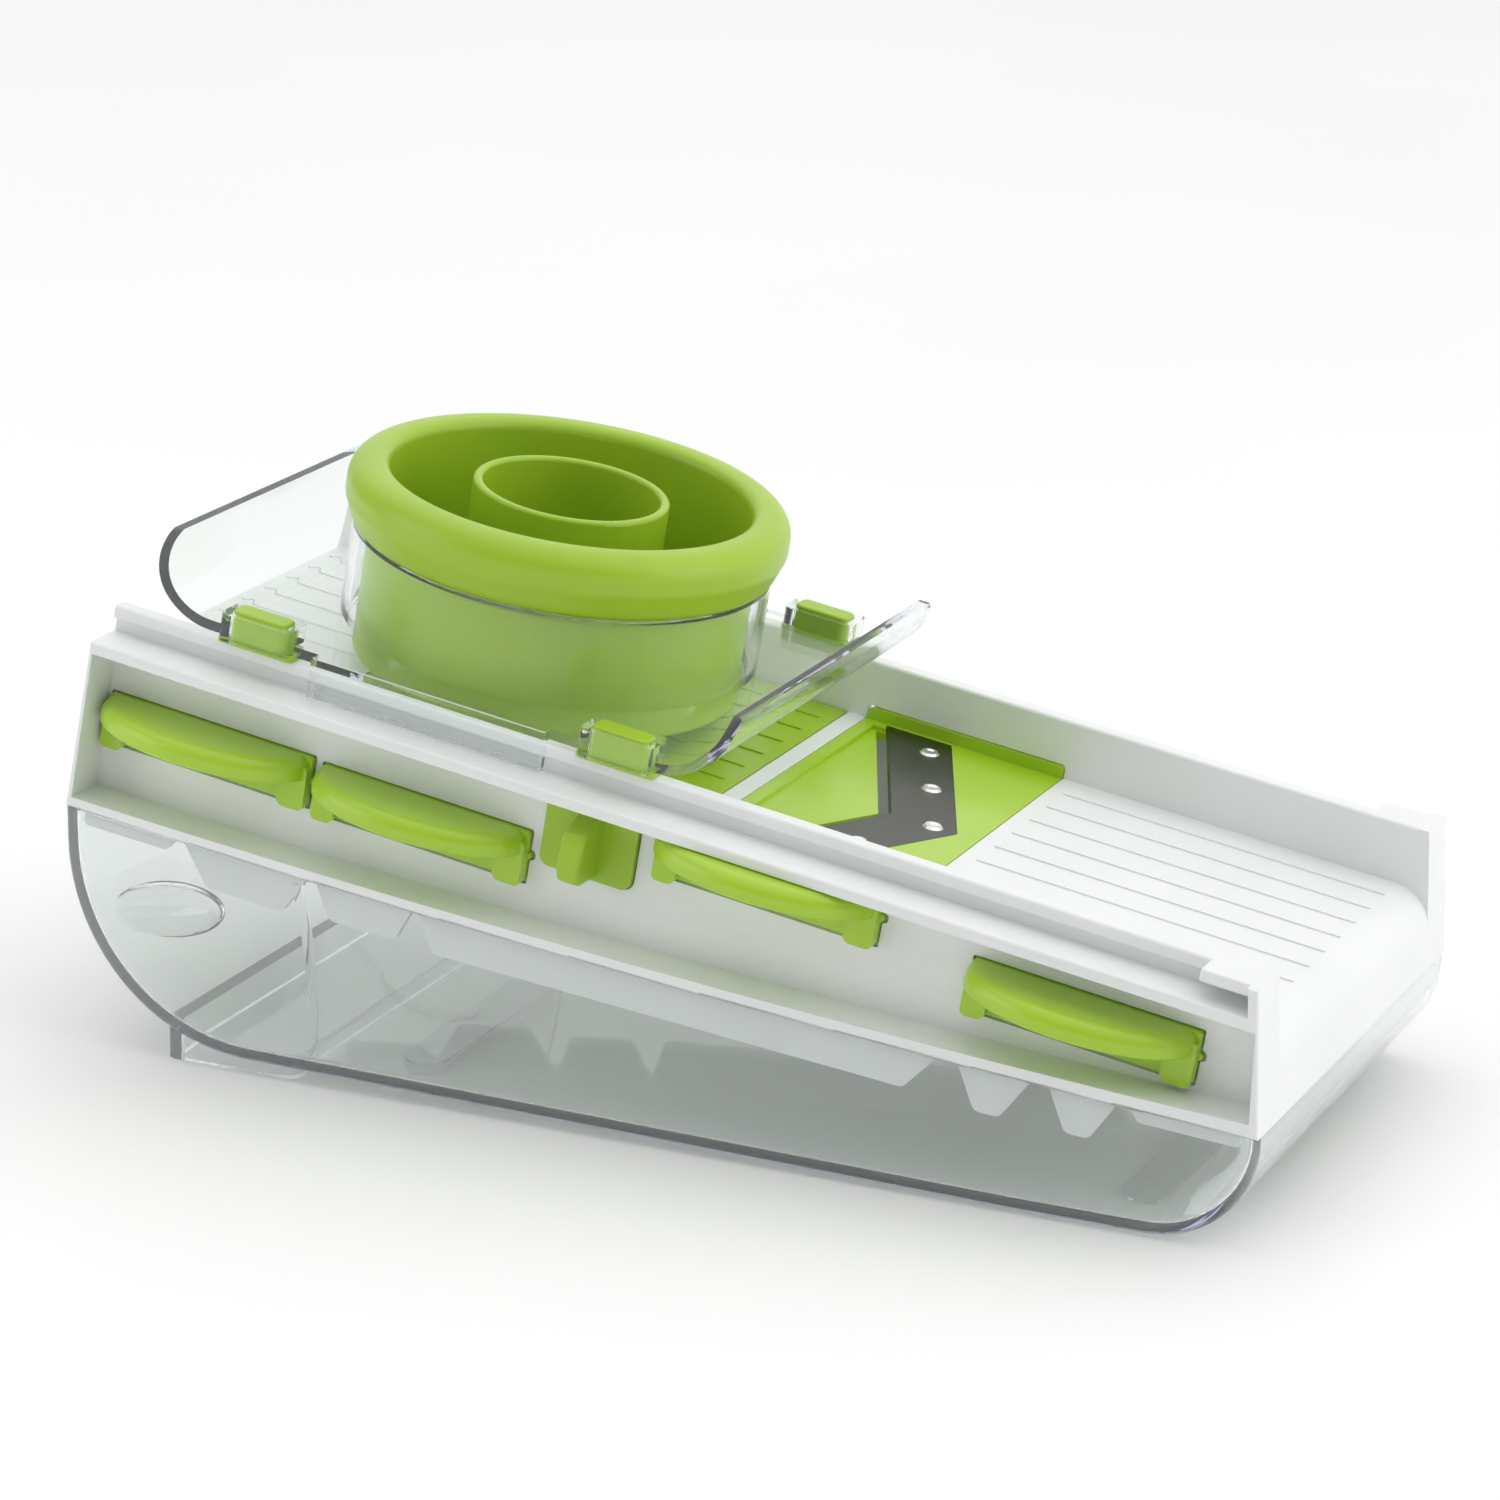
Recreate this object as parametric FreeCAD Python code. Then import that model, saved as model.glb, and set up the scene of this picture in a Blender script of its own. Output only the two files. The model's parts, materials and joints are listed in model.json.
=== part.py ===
import FreeCAD, Part
import math
import os

# Mandoline slicer with a food container under an inclined runway.
#
# Most of it is drawn in the runway's frame: u runs along the runway and downhill, v across it,
# w at right angles to its surface, with u = 0 near the low end and w = 0 on the surface.
# The finished pieces are tilted into the part's frame, which has +X towards the low end, +Y
# towards the back, +Z up, and its origin under the middle of the whole, handles included.
# Millimetres throughout.

# ---------------------------------------------------------------- driving dimensions
TILT = 9.26                  # runway slope, degrees
SHIFT_X = 97.0               # runway frame's origin in the part's frame
SHIFT_Z = 49.2

LENGTH = 275.0               # container, along X
BODY_HALF = 63.0             # outer half width of container and frame
RUNWAY_HALF = 50.0           # half width between the rails

RAIL_TOP = 13.4              # rail's top above the runway
LIP_HALF = 54.1              # outer edge of the lip that the guard hooks under
LIP_THICK = 2.9
WEB_OUT = 52.5               # outer face of the wall behind the side channel
LEDGE_TOP, LEDGE_BOTTOM = 7.2, 4.7
FLANGE = 2.5                 # flange that sits on the container's rim
DECK = 2.5                   # runway plate
END_TOP = (37.7, 13.4)       # low end's face, top and bottom, as (u, w)
END_BOTTOM = (43.85, -17.3)
HEAD_TOP = (-230.5, 13.4)    # high end's face
HEAD_BOTTOM = (-231.9, -31.6)
SEAT_MIDDLE = (-90.0, -26.6) # the seat on the container is slightly bowed
END_WALL = 2.4
EDGE_R = 0.7                 # rounding of the frame's outer edges
TAB_START, TAB_HALF = 24.4, 60.6            # stop tab at the low end of each rail
HEAD_WALL = 1.1
END_ROLL = 9.0               # radius where the runway rolls over the low end

RIDGES = 9
RIDGE_PITCH = 10.23
RIDGE_W, RIDGE_H = 0.9, 0.35

RAMP_START, RAMP_END = -185.8, -98.7
RAMP_THICK = 2.2
RAMP_AXIS = (-183.2, -2.6)
RAMP_BOSS_R, PIN_R, PIN_CLEAR = 2.6, 1.5, 0.05
STRIP_START, STRIP_END = -98.35, -94.1      # white bar between ramp and blade insert

PLATE_L = 47.9               # blade insert, along the runway
PLATE_T = 3.1
PLATE_OFFSET = 1.3           # plate's middle from its handle's middle
HANDLE_L = 50.6
POCKET_GAP = 0.3
SNAP_R = 0.8                 # bump at each end of a handle, and its notch
NOTCH_R = 1.2
HANDLE_TOP, HANDLE_BACK_BOTTOM, HANDLE_LEG_BOTTOM = 4.4, -6.5, -7.5
LIP_BOTTOM, LIP_OUT = -0.7, -68.5           # pull lip: its underside, and how far out it bows
LIP_ENDS = (-0.6, 0.6)       # the lip's ends, inwards from those of the handle's plate
SHIFT_Y = -(LIP_OUT + BODY_HALF) / 2        # the handles reach out on the near side only
LEG_FRONT = -55.9
LEG_WIDE = (5.4, 6.6)                       # end legs, high side and low side
FAR_END = 51.6
SLOT_UP, SLOT_DOWN = 3.1, -3.35
END_BAR_TOP = 2.8
POCKET_DEPTH = 1.2
GUIDE_WALL, GUIDE_GAP, GUIDE_LEDGE, GUIDE_DROP = 1.6, 0.25, 2.4, 2.0
# name of the insert, middle of its handle along u, height of its working surface
INSERTS = {
    "grater": (-203.9, -10.9),
    "fine_julienne": (-151.2, -11.5),
    "v_slicer": (-71.2, 0.0),
    "coarse_julienne": (0.6, -7.1),
}

LEVER_U = (-123.0, -101.6)
LEVER_W = (-13.0, 2.6)
SLIDER_U = (-121.5, -103.1)
SLIDER_TRAVEL = 12.0
FIN_HALF, FIN_OUT = 2.7, -63.6             # lever's fin
SLIDER_SLOPE = 0.2
SLIDER_BASE = (-12.4, -10.4)
FOLLOWER_U = (-115.0, -109.0)
FOLLOWER_V = (-28.0, 16.0)
FOLLOWER_HALF = 6.0
FOLLOWER_W = -6.05
CONTACT_GAP = 0.15

CUP_U = -152.3
CUP_TOP = 51.5
CUP_OPEN_R = 39.9
CUP_RIM_R = 48.7
CUP_RIM_LOW = (46.6, 37.8)   # lower corner of the rim's bulge, as (radius, w)
CUP_RIM_TURN = 43.2          # where the rim's side turns in towards that corner
CUP_BODY_R = 42.6
CUP_NECK = 34.9              # where the rim's underside meets the body
CUP_BOTTOM = 7.0
CUP_WALL = 2.5
CHUTE_R = (21.6, 19.5)       # outside, bore
CHUTE_TOP = 50.0
PRONG_R, PRONG_RING, PRONG_COUNT = 0.9, 31.0, 10

GUARD_PLATE = (14.4, 16.6)
GUARD_HALF = 55.5
WING_R = 16.0
WING_U = (-207.3, -101.3)    # centres of the two wings' arcs
WING_TIP = 30.6
WING_CORNER = (14.0, 5.0)
TUBE_R = (46.2, 44.2)
TUBE_TOP, TUBE_LEAD_IN = 37.0, 1.4          # the lead-in widens the bore's top for the cup
SKIRT_U = (-181.0, -125.0)
SKIRT_V = (54.5, 56.4)
HOOK_W = (7.9, 10.2)
HOOK_IN = 52.9
FOOT_U = (-195.4, -109.1)
FOOT_V = 52.3
FOOT_L, FOOT_B, FOOT_TOP = 17.0, 9.6, 20.4
GLIDE_L, GLIDE_B, GLIDE_TOP = 13.2, 5.8, 21.1

WALL = 2.2                   # container
HIGH_CURVE, LOW_CURVE = 44.7, 23.5
LONG_EDGE_R = 2.6
FLOOR_HIGH, FLOOR_LOW = 4.6, 0.5
FLOOR_FLAT_X = 85.0
HEEL_X = (-114.4, -82.0)
PAD_X = (-58.5, 108.0)
PAD_L, PAD_B = 96.0, 10.0
SCOOP_X, SCOOP_Z = -112.0, 35.0
SCOOP_R = (14.0, 8.0, 5.8)   # semi-axes of the finger grip's ellipsoid
SCOOP_TILT, SCOOP_SKIN = -8.0, 1.2
GROOVE_R, GROOVE_DEPTH = 2.0, 0.6

# ---------------------------------------------------------------- drawing helpers
V = FreeCAD.Vector
SIN, COS = math.sin(math.radians(TILT)), math.cos(math.radians(TILT))


def to_part(u, w):
    """A point of the runway's frame as (X, Z) of the part's frame."""
    return (COS * u + SIN * w + SHIFT_X, -SIN * u + COS * w + SHIFT_Z)


def box(u, v, w):
    low = V(min(u), min(v), min(w))
    return Part.makeBox(max(u) - min(u), max(v) - min(v), max(w) - min(w), low)


def in_plane(plane, a, b):
    """A point of a drawing plane: 'uw' faces along v, 'uv' along w, 'vw' along u."""
    return {"uw": V(a, 0, b), "uv": V(a, b, 0), "vw": V(0, a, b)}[plane]


def sweep(plane):
    return {"uw": V(0, 1, 0), "uv": V(0, 0, 1), "vw": V(1, 0, 0)}[plane]


def outline(points, radii=0.0, plane="uw"):
    """Closed wire through the points, each corner rounded to its radius."""
    count = len(points)
    if not isinstance(radii, (list, tuple)):
        radii = [radii] * count
    corners = []
    for i, (point, radius) in enumerate(zip(points, radii)):
        here = V(point[0], point[1], 0)
        back = V(*points[i - 1], 0) - here
        ahead = V(*points[(i + 1) % count], 0) - here
        if radius <= 0:
            corners.append((here, None, here))
            continue
        back.normalize()
        ahead.normalize()
        half = back.getAngle(ahead) / 2
        reach = radius / math.tan(half)
        middle = back + ahead
        middle.normalize()
        dip = radius / math.sin(half) - radius
        corners.append((here + back * reach, here + middle * dip, here + ahead * reach))
    edges = []
    for i, (start, middle, end) in enumerate(corners):
        following = corners[(i + 1) % count][0]
        if middle is not None:
            arc = [in_plane(plane, p.x, p.y) for p in (start, middle, end)]
            edges.append(Part.Arc(*arc).toShape())
        if (following - end).Length > 1e-6:
            ends = [in_plane(plane, p.x, p.y) for p in (end, following)]
            edges.append(Part.LineSegment(*ends).toShape())
    return Part.Wire(edges)


def prism(wire, span, plane="uw"):
    """The outline's face drawn out between two values of the third coordinate."""
    direction = sweep(plane)
    face = Part.Face(wire)
    face.translate(direction * min(span))
    return face.extrude(direction * (max(span) - min(span)))


def plate(u, v, w, radius):
    """Flat plate with rounded corners in plan."""
    corners = [(u[0], v[0]), (u[1], v[0]), (u[1], v[1]), (u[0], v[1])]
    return prism(outline(corners, radius, "uv"), w, "uv")


def upright(u, w, v, radius):
    """Plate that stands across v, with rounded corners."""
    corners = [(u[0], w[0]), (u[1], w[0]), (u[1], w[1]), (u[0], w[1])]
    return prism(outline(corners, radius, "uw"), v, "uw")


def rod(radius, centre, length, direction):
    return Part.makeCylinder(radius, length, V(*centre), V(*direction))


def join(shapes):
    shapes = list(shapes)
    return shapes[0].fuse(shapes[1:]).removeSplitter() if len(shapes) > 1 else shapes[0]


def mirrored(shape):
    """The shape and its image on the other side of the middle plane."""
    return [shape, shape.mirror(V(0, 0, 0), V(0, 1, 0))]


def ridges(u):
    """Low rounded ribs along the runway that stop food from sticking."""
    ribs = []
    for i in range(RIDGES):
        v = (i - (RIDGES - 1) / 2) * RIDGE_PITCH
        ribs.append(plate(u, (v - RIDGE_W / 2, v + RIDGE_W / 2), (-0.4, RIDGE_H), RIDGE_W / 2 - 0.01))
    return ribs


NODES = {}


def keep(name, shape, tilted=True):
    """File a finished piece under its node name, in the part's frame."""
    shape = shape.copy()
    if tilted:
        shape.rotate(V(0, 0, 0), V(0, 1, 0), TILT)
        shape.translate(V(SHIFT_X, 0, SHIFT_Z))
    shape.translate(V(0, SHIFT_Y, 0))
    NODES[name] = shape


# ---------------------------------------------------------------- white frame
def seat_arc(raised=0.0):
    """Bowed line on which the frame sits on the container, or one above it."""
    points = [V(u, 0, w + raised) for u, w in (HEAD_BOTTOM, SEAT_MIDDLE, END_BOTTOM)]
    return Part.Arc(*points).toShape()


def below_line(top_points):
    """Face between the seat and a polyline above it, given from the low end to the high end."""
    points = [V(END_BOTTOM[0], 0, END_BOTTOM[1])]
    points += [V(u, 0, w) for u, w in top_points]
    points.append(V(HEAD_BOTTOM[0], 0, HEAD_BOTTOM[1]))
    edges = [seat_arc()] + [Part.LineSegment(a, b).toShape() for a, b in zip(points, points[1:])]
    return Part.Face(Part.Wire(edges))


def end_u(w):
    """Low end's outer face at a height."""
    share = (w - END_BOTTOM[1]) / (END_TOP[1] - END_BOTTOM[1])
    return END_BOTTOM[0] + share * (END_TOP[0] - END_BOTTOM[0])


def head_u(w):
    share = (w - HEAD_BOTTOM[1]) / (HEAD_TOP[1] - HEAD_BOTTOM[1])
    return HEAD_BOTTOM[0] + share * (HEAD_TOP[0] - HEAD_BOTTOM[0])


def drawn_between(face, v):
    face = face.copy()
    face.translate(V(0, v[0], 0))
    return face.extrude(V(0, v[1] - v[0], 0))


def side_wall():
    """Far side of the frame: web, lip, ledge and the flange on the container's rim."""
    lip_bottom = RAIL_TOP - LIP_THICK
    web_face = below_line([(end_u(lip_bottom), lip_bottom + 0.1), (head_u(lip_bottom), lip_bottom + 0.1)])
    web = drawn_between(web_face, (RUNWAY_HALF, WEB_OUT))
    body_face = below_line([END_TOP, (END_TOP[0] - END_WALL, END_TOP[1]),
                            (end_u(LEDGE_TOP) - END_WALL, LEDGE_TOP), (head_u(LEDGE_TOP), LEDGE_TOP)])
    block = drawn_between(body_face, (RUNWAY_HALF, BODY_HALF))
    rim = [e for e in block.Edges if e.CenterOfMass.y > BODY_HALF - 1e-3]
    block = block.makeFillet(EDGE_R, rim)
    block = block.cut(drawn_between(channel_face(), (WEB_OUT, BODY_HALF + 1)))
    lip = prism(outline([(RUNWAY_HALF, lip_bottom), (LIP_HALF, lip_bottom), (LIP_HALF, RAIL_TOP),
                         (RUNWAY_HALF, RAIL_TOP)], [0, 0.5, 0.8, 0.8], "vw"),
                (HEAD_TOP[0], END_TOP[0] - 0.5), "vw")
    tab = plate((TAB_START, END_TOP[0] - 0.6), (RUNWAY_HALF + 0.8, TAB_HALF),
                (lip_bottom + 0.4, RAIL_TOP), 1.2)
    tab = tab.makeFillet(0.6, [e for e in tab.Edges if e.BoundBox.ZMin > RAIL_TOP - 1e-3])
    return join([web, block, lip, tab])


def channel_face():
    """Outline of the hollow in the side, between ledge, end walls and bottom flange."""
    high = (head_u(0) + HEAD_WALL, LEDGE_BOTTOM)
    low = (end_u(0) - END_WALL + 0.9, LEDGE_BOTTOM)
    low_foot = (END_BOTTOM[0] - END_WALL, END_BOTTOM[1] + FLANGE + 0.3)
    high_foot = (HEAD_BOTTOM[0] + HEAD_WALL + 0.2, HEAD_BOTTOM[1] + FLANGE)
    middle = (SEAT_MIDDLE[0], SEAT_MIDDLE[1] + FLANGE)
    edges = [Part.LineSegment(in_plane("uw", *a), in_plane("uw", *b)).toShape()
             for a, b in ((high_foot, high), (high, low), (low, low_foot))]
    edges.append(Part.Arc(*[in_plane("uw", *p) for p in (low_foot, middle, high_foot)]).toShape())
    return Part.Face(Part.Wire(edges))


def decks():
    """Fixed runway plates, the end walls between the rails and the white strip."""
    edge = INSERTS["v_slicer"][0] + PLATE_OFFSET + PLATE_L / 2 + GUIDE_GAP
    corner = end_u(0)
    low = [(edge, 0), (corner, 0), END_BOTTOM, (END_BOTTOM[0] - END_WALL, END_BOTTOM[1]),
           (corner - END_WALL - 0.5, -DECK), (edge, -DECK)]
    low_deck = prism(outline(low, [0, END_ROLL, 0, 0, END_ROLL - DECK, 0]),
                     (-RUNWAY_HALF, RUNWAY_HALF))
    foot = HEAD_BOTTOM[1] + 0.1
    head = [(RAMP_START - 0.5, 0), (head_u(0), 0), (head_u(foot), foot),
            (head_u(foot) + HEAD_WALL, foot), (head_u(0) + HEAD_WALL, -DECK),
            (RAMP_START - 0.5, -DECK)]
    head_deck = prism(outline(head, [0, 1.5, 0, 0, 1.0, 0]), (-RUNWAY_HALF, RUNWAY_HALF))
    strip = box((STRIP_START, STRIP_END), (-RUNWAY_HALF - 0.5, RUNWAY_HALF + 0.5), (-3.2, 0))
    ribs = ridges((-42.2, 33.5)) + ridges((-228.0, -189.5))
    return [low_deck, head_deck, strip] + ribs


def guides():
    """Cross bars that carry the edges of each insert and of the thickness slider."""
    bars = []
    reach = (-RUNWAY_HALF - 0.5, RUNWAY_HALF + 0.5)
    for middle, surface in INSERTS.values():
        centre = middle + PLATE_OFFSET
        bottom = surface - PLATE_T - 0.2
        for side in (-1, 1):
            edge = centre + side * (PLATE_L / 2 + GUIDE_GAP)
            bars.append(box((edge, edge + side * GUIDE_WALL), reach,
                            (bottom - GUIDE_DROP, surface - 0.6)))
            bars.append(box((edge, edge - side * GUIDE_LEDGE), reach, (bottom - GUIDE_DROP, bottom)))
    for side, edge in ((-1, SLIDER_U[0] - GUIDE_GAP), (1, SLIDER_U[1] + GUIDE_GAP)):
        low = SLIDER_BASE[0] - 0.2
        bars.append(box((edge, edge + side * GUIDE_WALL), reach, (low - GUIDE_DROP, -7.5)))
        bars.append(box((edge, edge - side * GUIDE_LEDGE), reach, (low - GUIDE_DROP, low)))
    return bars


def wall_openings():
    """Pockets for the handles, slots for the plates, windows for their far ends, pivot holes."""
    cuts = []
    near_web = (-WEB_OUT - 0.5, -RUNWAY_HALF + 0.6)
    pocket_v = (-WEB_OUT - 0.5, -WEB_OUT + POCKET_DEPTH)
    far_web = (RUNWAY_HALF - 0.6, WEB_OUT + 0.5)
    for middle, surface in INSERTS.values():
        half = HANDLE_L / 2 + POCKET_GAP
        cuts.append(upright((middle - half, middle + half),
                            (surface + HANDLE_LEG_BOTTOM - 0.3, surface + HANDLE_TOP + POCKET_GAP),
                            pocket_v, 0.5))
        for side in (-1, 1):
            cuts.append(rod(NOTCH_R, (middle + side * half, pocket_v[0], surface - 1.0),
                            pocket_v[1] - pocket_v[0], (0, 1, 0)))
        centre = middle + PLATE_OFFSET
        across = (centre - PLATE_L / 2 - GUIDE_GAP, centre + PLATE_L / 2 + GUIDE_GAP)
        for web in (near_web, far_web):
            cuts.append(upright(across, (surface + SLOT_DOWN, surface + SLOT_UP), web, 0.5))
    cuts.append(upright((LEVER_U[0] - 0.3, LEVER_U[1] + 0.3), (LEVER_W[0] - 0.3, LEVER_W[1] + 0.3),
                        pocket_v, 2.4))
    cuts.append(upright((SLIDER_U[0] - GUIDE_GAP, SLIDER_U[1] + GUIDE_GAP),
                        (SLIDER_BASE[0] - 0.2, -4.5), near_web, 0.6))
    for side in (-1, 1):
        cuts.append(rod(PIN_R + PIN_CLEAR, (RAMP_AXIS[0], side * (RUNWAY_HALF - 0.5), RAMP_AXIS[1]),
                        1.9, (0, side, 0)))
    return cuts


def locating_skirt():
    """Scalloped skirt inside the container's rim, on the far side."""
    # each tooth as (start, end) at the seat, (start, end) at its tip, and its depth
    teeth = [((-227.8, -204.5), (-227.8, -207.0), 3.6), ((-203.4, -172.2), (-196.0, -177.3), 9.4),
             ((-170.6, -146.8), (-166.0, -150.0), 8.2), ((-145.6, -25.4), (-141.0, -32.0), 8.8),
             ((-21.5, -5.0), (-16.0, -10.5), 9.8), ((-1.5, 13.6), (3.8, 9.0), 9.4),
             ((15.8, 40.0), (18.5, 40.0), 3.2)]
    depth_line = seat_arc().Curve
    pieces = []
    for (top_a, top_b), (low_a, low_b), depth in teeth:
        seat = [seat_height(depth_line, u) for u in (top_a, top_b, low_a, low_b)]
        points = [(top_a, seat[0] + 1.5), (top_b, seat[1] + 1.5), (top_b, seat[1]),
                  (low_b, seat[3] - depth), (low_a, seat[2] - depth), (top_a, seat[0])]
        softness = min(2.0, depth / 3)
        radii = [0, 0, 0, softness, softness, 0]
        pieces.append(prism(outline(points, radii), (58.9, 60.4)))
    return pieces


def seat_height(circle, u):
    """Height of the bowed seat at a place along the runway."""
    reach = math.sqrt(circle.Radius ** 2 - (u - circle.Center.x) ** 2)
    below = circle.Center.z - reach
    above = circle.Center.z + reach
    return below if abs(below - SEAT_MIDDLE[1]) < abs(above - SEAT_MIDDLE[1]) else above


def frame_body():
    walls = mirrored(side_wall())
    skirts = [s for tooth in locating_skirt() for s in mirrored(tooth)]
    body = join(walls + decks() + guides() + skirts)
    return body.cut(wall_openings()).removeSplitter()


# ---------------------------------------------------------------- ramp and thickness slider
def ramp():
    body = plate((RAMP_START, RAMP_END), (-RUNWAY_HALF + 0.4, RUNWAY_HALF - 0.4), (-RAMP_THICK, 0), 0.6)
    boss = rod(RAMP_BOSS_R, (RAMP_AXIS[0], -RUNWAY_HALF + 0.4, RAMP_AXIS[1]),
               2 * RUNWAY_HALF - 0.8, (0, 1, 0))
    ribs = ridges((-181.0, -101.5))
    feet = []
    for middle in FOLLOWER_V:
        low = [(middle + side * FOLLOWER_HALF, FOLLOWER_W - side * FOLLOWER_HALF * SLIDER_SLOPE)
               for side in (-1, 1)]
        points = low + [(low[1][0], -RAMP_THICK + 0.5), (low[0][0], -RAMP_THICK + 0.5)]
        feet.append(prism(outline(points, 0, "vw"), FOLLOWER_U, "vw"))
    body = join([body, boss] + ribs + feet)
    holes = [rod(PIN_R, (RAMP_AXIS[0], side * (RUNWAY_HALF - 7), RAMP_AXIS[1]), 8, (0, side, 0))
             for side in (-1, 1)]
    return body.cut(holes)


def ramp_pins():
    return Part.makeCompound([rod(PIN_R, (RAMP_AXIS[0], side * (RUNWAY_HALF - 7), RAMP_AXIS[1]),
                                  8.2, (0, side, 0)) for side in (-1, 1)])


def thickness_slider():
    """Sliding wedge under the ramp's free end, with its grip plate in the near channel."""
    base = box(SLIDER_U, (-WEB_OUT + 0.6, 44.0), SLIDER_BASE)
    wedges = []
    for middle in FOLLOWER_V:
        start, end = middle - FOLLOWER_HALF - 0.5, middle + FOLLOWER_HALF + SLIDER_TRAVEL + 1.5
        high = FOLLOWER_W - CONTACT_GAP - (start - middle) * SLIDER_SLOPE
        low = FOLLOWER_W - CONTACT_GAP - (end - middle) * SLIDER_SLOPE
        points = [(start, SLIDER_BASE[1] - 0.3), (end, SLIDER_BASE[1] - 0.3), (end, low), (start, high)]
        wedges.append(prism(outline(points, 0, "vw"), (SLIDER_U[0] + 2, SLIDER_U[1] - 2), "vw"))
    grip = upright(LEVER_U, LEVER_W, (-WEB_OUT - 1.4, -WEB_OUT + 1.1), 2.2)
    middle = sum(LEVER_U) / 2
    fin_shape = outline([(-WEB_OUT - 0.5, LEVER_W[0] + 0.6), (FIN_OUT + 1.6, LEVER_W[0] + 0.9),
                         (FIN_OUT, LEVER_W[0] + 5.0), (FIN_OUT + 0.8, LEVER_W[1] - 3.6),
                         (-WEB_OUT - 3.0, LEVER_W[1] - 0.6), (-WEB_OUT - 0.5, LEVER_W[1] - 0.6)],
                        [0, 2.2, 4.0, 3.0, 1.0, 0], "vw")
    fin = prism(fin_shape, (middle - FIN_HALF, middle + FIN_HALF), "vw")
    round_edges = [e for e in fin.Edges if e.CenterOfMass.y < -WEB_OUT - 4 and e.Length > 0.5
                   and abs(e.CenterOfMass.x - middle) > FIN_HALF - 0.01]
    fin = fin.makeFillet(0.9, round_edges)
    return join([base, grip, fin] + wedges)


# ---------------------------------------------------------------- blade inserts
def handle(middle, surface):
    """Back plate, crescent pull lip and two end legs, outside the near wall."""
    half = HANDLE_L / 2
    top = surface + HANDLE_TOP
    front = -WEB_OUT - 1.5
    back_plate = upright((middle - half, middle + half), (surface + HANDLE_BACK_BOTTOM, top),
                         (front, -WEB_OUT + POCKET_DEPTH - 0.1), 1.0)
    root = front + 0.3
    ends = [V(middle - half + LIP_ENDS[0], root, 0), V(middle + half - LIP_ENDS[1], root, 0)]
    oval = Part.Ellipse((ends[0] + ends[1]) / 2, (ends[1].x - ends[0].x) / 2, root - LIP_OUT)
    bow = Part.ArcOfEllipse(oval, math.pi, 2 * math.pi).toShape()
    chord = Part.LineSegment(ends[1], ends[0]).toShape()
    face = Part.Face(Part.Wire([bow, chord]))
    face.translate(V(0, 0, surface + LIP_BOTTOM))
    lip = face.extrude(V(0, 0, top - surface - LIP_BOTTOM))
    arcs = [e for e in lip.Edges if e.Curve.TypeId == "Part::GeomEllipse"]
    lip = lip.makeFillet(3.0, [max(arcs, key=lambda e: e.CenterOfMass.z)])
    arcs = [e for e in lip.Edges if e.BoundBox.ZMax < surface + LIP_BOTTOM + 0.01
            and e.Curve.TypeId == "Part::GeomEllipse"]
    lip = lip.makeFillet(0.8, arcs)
    pieces = [back_plate, lip]
    for side, wide in zip((-1, 1), LEG_WIDE):
        outer, inner = middle + side * half, middle + side * (half - wide)
        leg = [(outer, surface + HANDLE_LEG_BOTTOM), (inner, surface + HANDLE_LEG_BOTTOM),
               (inner, top - 2.0), (outer, top - 2.0)]
        pieces.append(prism(outline(leg, [1.3, 1.9, 0, 1.0]),
                            (LEG_FRONT, -WEB_OUT + POCKET_DEPTH - 0.1)))
        pieces.append(rod(SNAP_R, (outer, front + 0.5, surface - 1.0),
                          -WEB_OUT + POCKET_DEPTH - 0.2 - front - 0.5, (0, 1, 0)))
    return pieces


def insert_blank(middle, surface):
    """Insert without its blade: plate, far end bar and handle."""
    centre = middle + PLATE_OFFSET
    across = (centre - PLATE_L / 2, centre + PLATE_L / 2)
    flat = box(across, (-WEB_OUT + 1.0, FAR_END), (surface - PLATE_T, surface))
    end_bar = prism(outline([(across[0], surface - PLATE_T), (across[1], surface - PLATE_T),
                             (across[1], surface + END_BAR_TOP), (across[0], surface + END_BAR_TOP)],
                            [0, 0, 1.6, 1.6]), (FAR_END - 2.2, FAR_END))
    return join([flat, end_bar] + handle(middle, surface))


# V blade: apex of its leading and trailing edge, and how far each falls back per mm of width
V_EDGE, V_BACK, V_LEAN = -67.0, -51.0, 0.443
V_REACH = 48.6
V_SLIT = 2.4
BLADE_T = 0.7
BLADE_STUDS = ((-56.6, 0.0), (-65.5, 20.4), (-74.4, 40.4))


def chevron(lead, trail, reach, w):
    """V-shaped band across the runway between two apexes, each side leaning upstream."""
    points = [(lead, 0), (lead - V_LEAN * reach, reach), (trail - V_LEAN * reach, reach), (trail, 0),
              (trail - V_LEAN * reach, -reach), (lead - V_LEAN * reach, -reach)]
    return prism(outline(points, 0, "uv"), w, "uv")


def ground(blade, surface, apex):
    """The blade with its leading edge ground down from above."""
    def leads(edge):
        centre = edge.CenterOfMass
        lean = V_LEAN * abs(centre.y)
        return abs(centre.z - surface) < 1e-6 and abs(centre.x + lean - apex) < 1e-3
    return blade.makeChamfer(BLADE_T - 0.15, [e for e in blade.Edges if leads(e)])


DISH_SHARES = (0.35, 0.65)   # floor and mouth of the dish in a stud's head, as shares of its radius


def stud_group(places, surface, radius=2.3):
    """Rivet heads with their shanks, as separate solids of one node."""
    studs = []
    for u, v in places:
        head = Part.makeCone(radius, radius - 0.5, 0.45, V(u, v, surface))
        dish = [share * radius for share in DISH_SHARES]
        head = head.cut(Part.makeCone(dish[0], dish[1], 0.3, V(u, v, surface + 0.2)))
        shank = rod(0.9, (u, v, surface - 2.2), 2.3, (0, 0, 1))
        studs.append(head.fuse(shank).removeSplitter())
    return Part.makeCompound(studs)


def drilled(shape, places, low, high):
    return shape.cut([rod(0.9, (u, v, low), high - low, (0, 0, 1)) for u, v in places])


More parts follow.
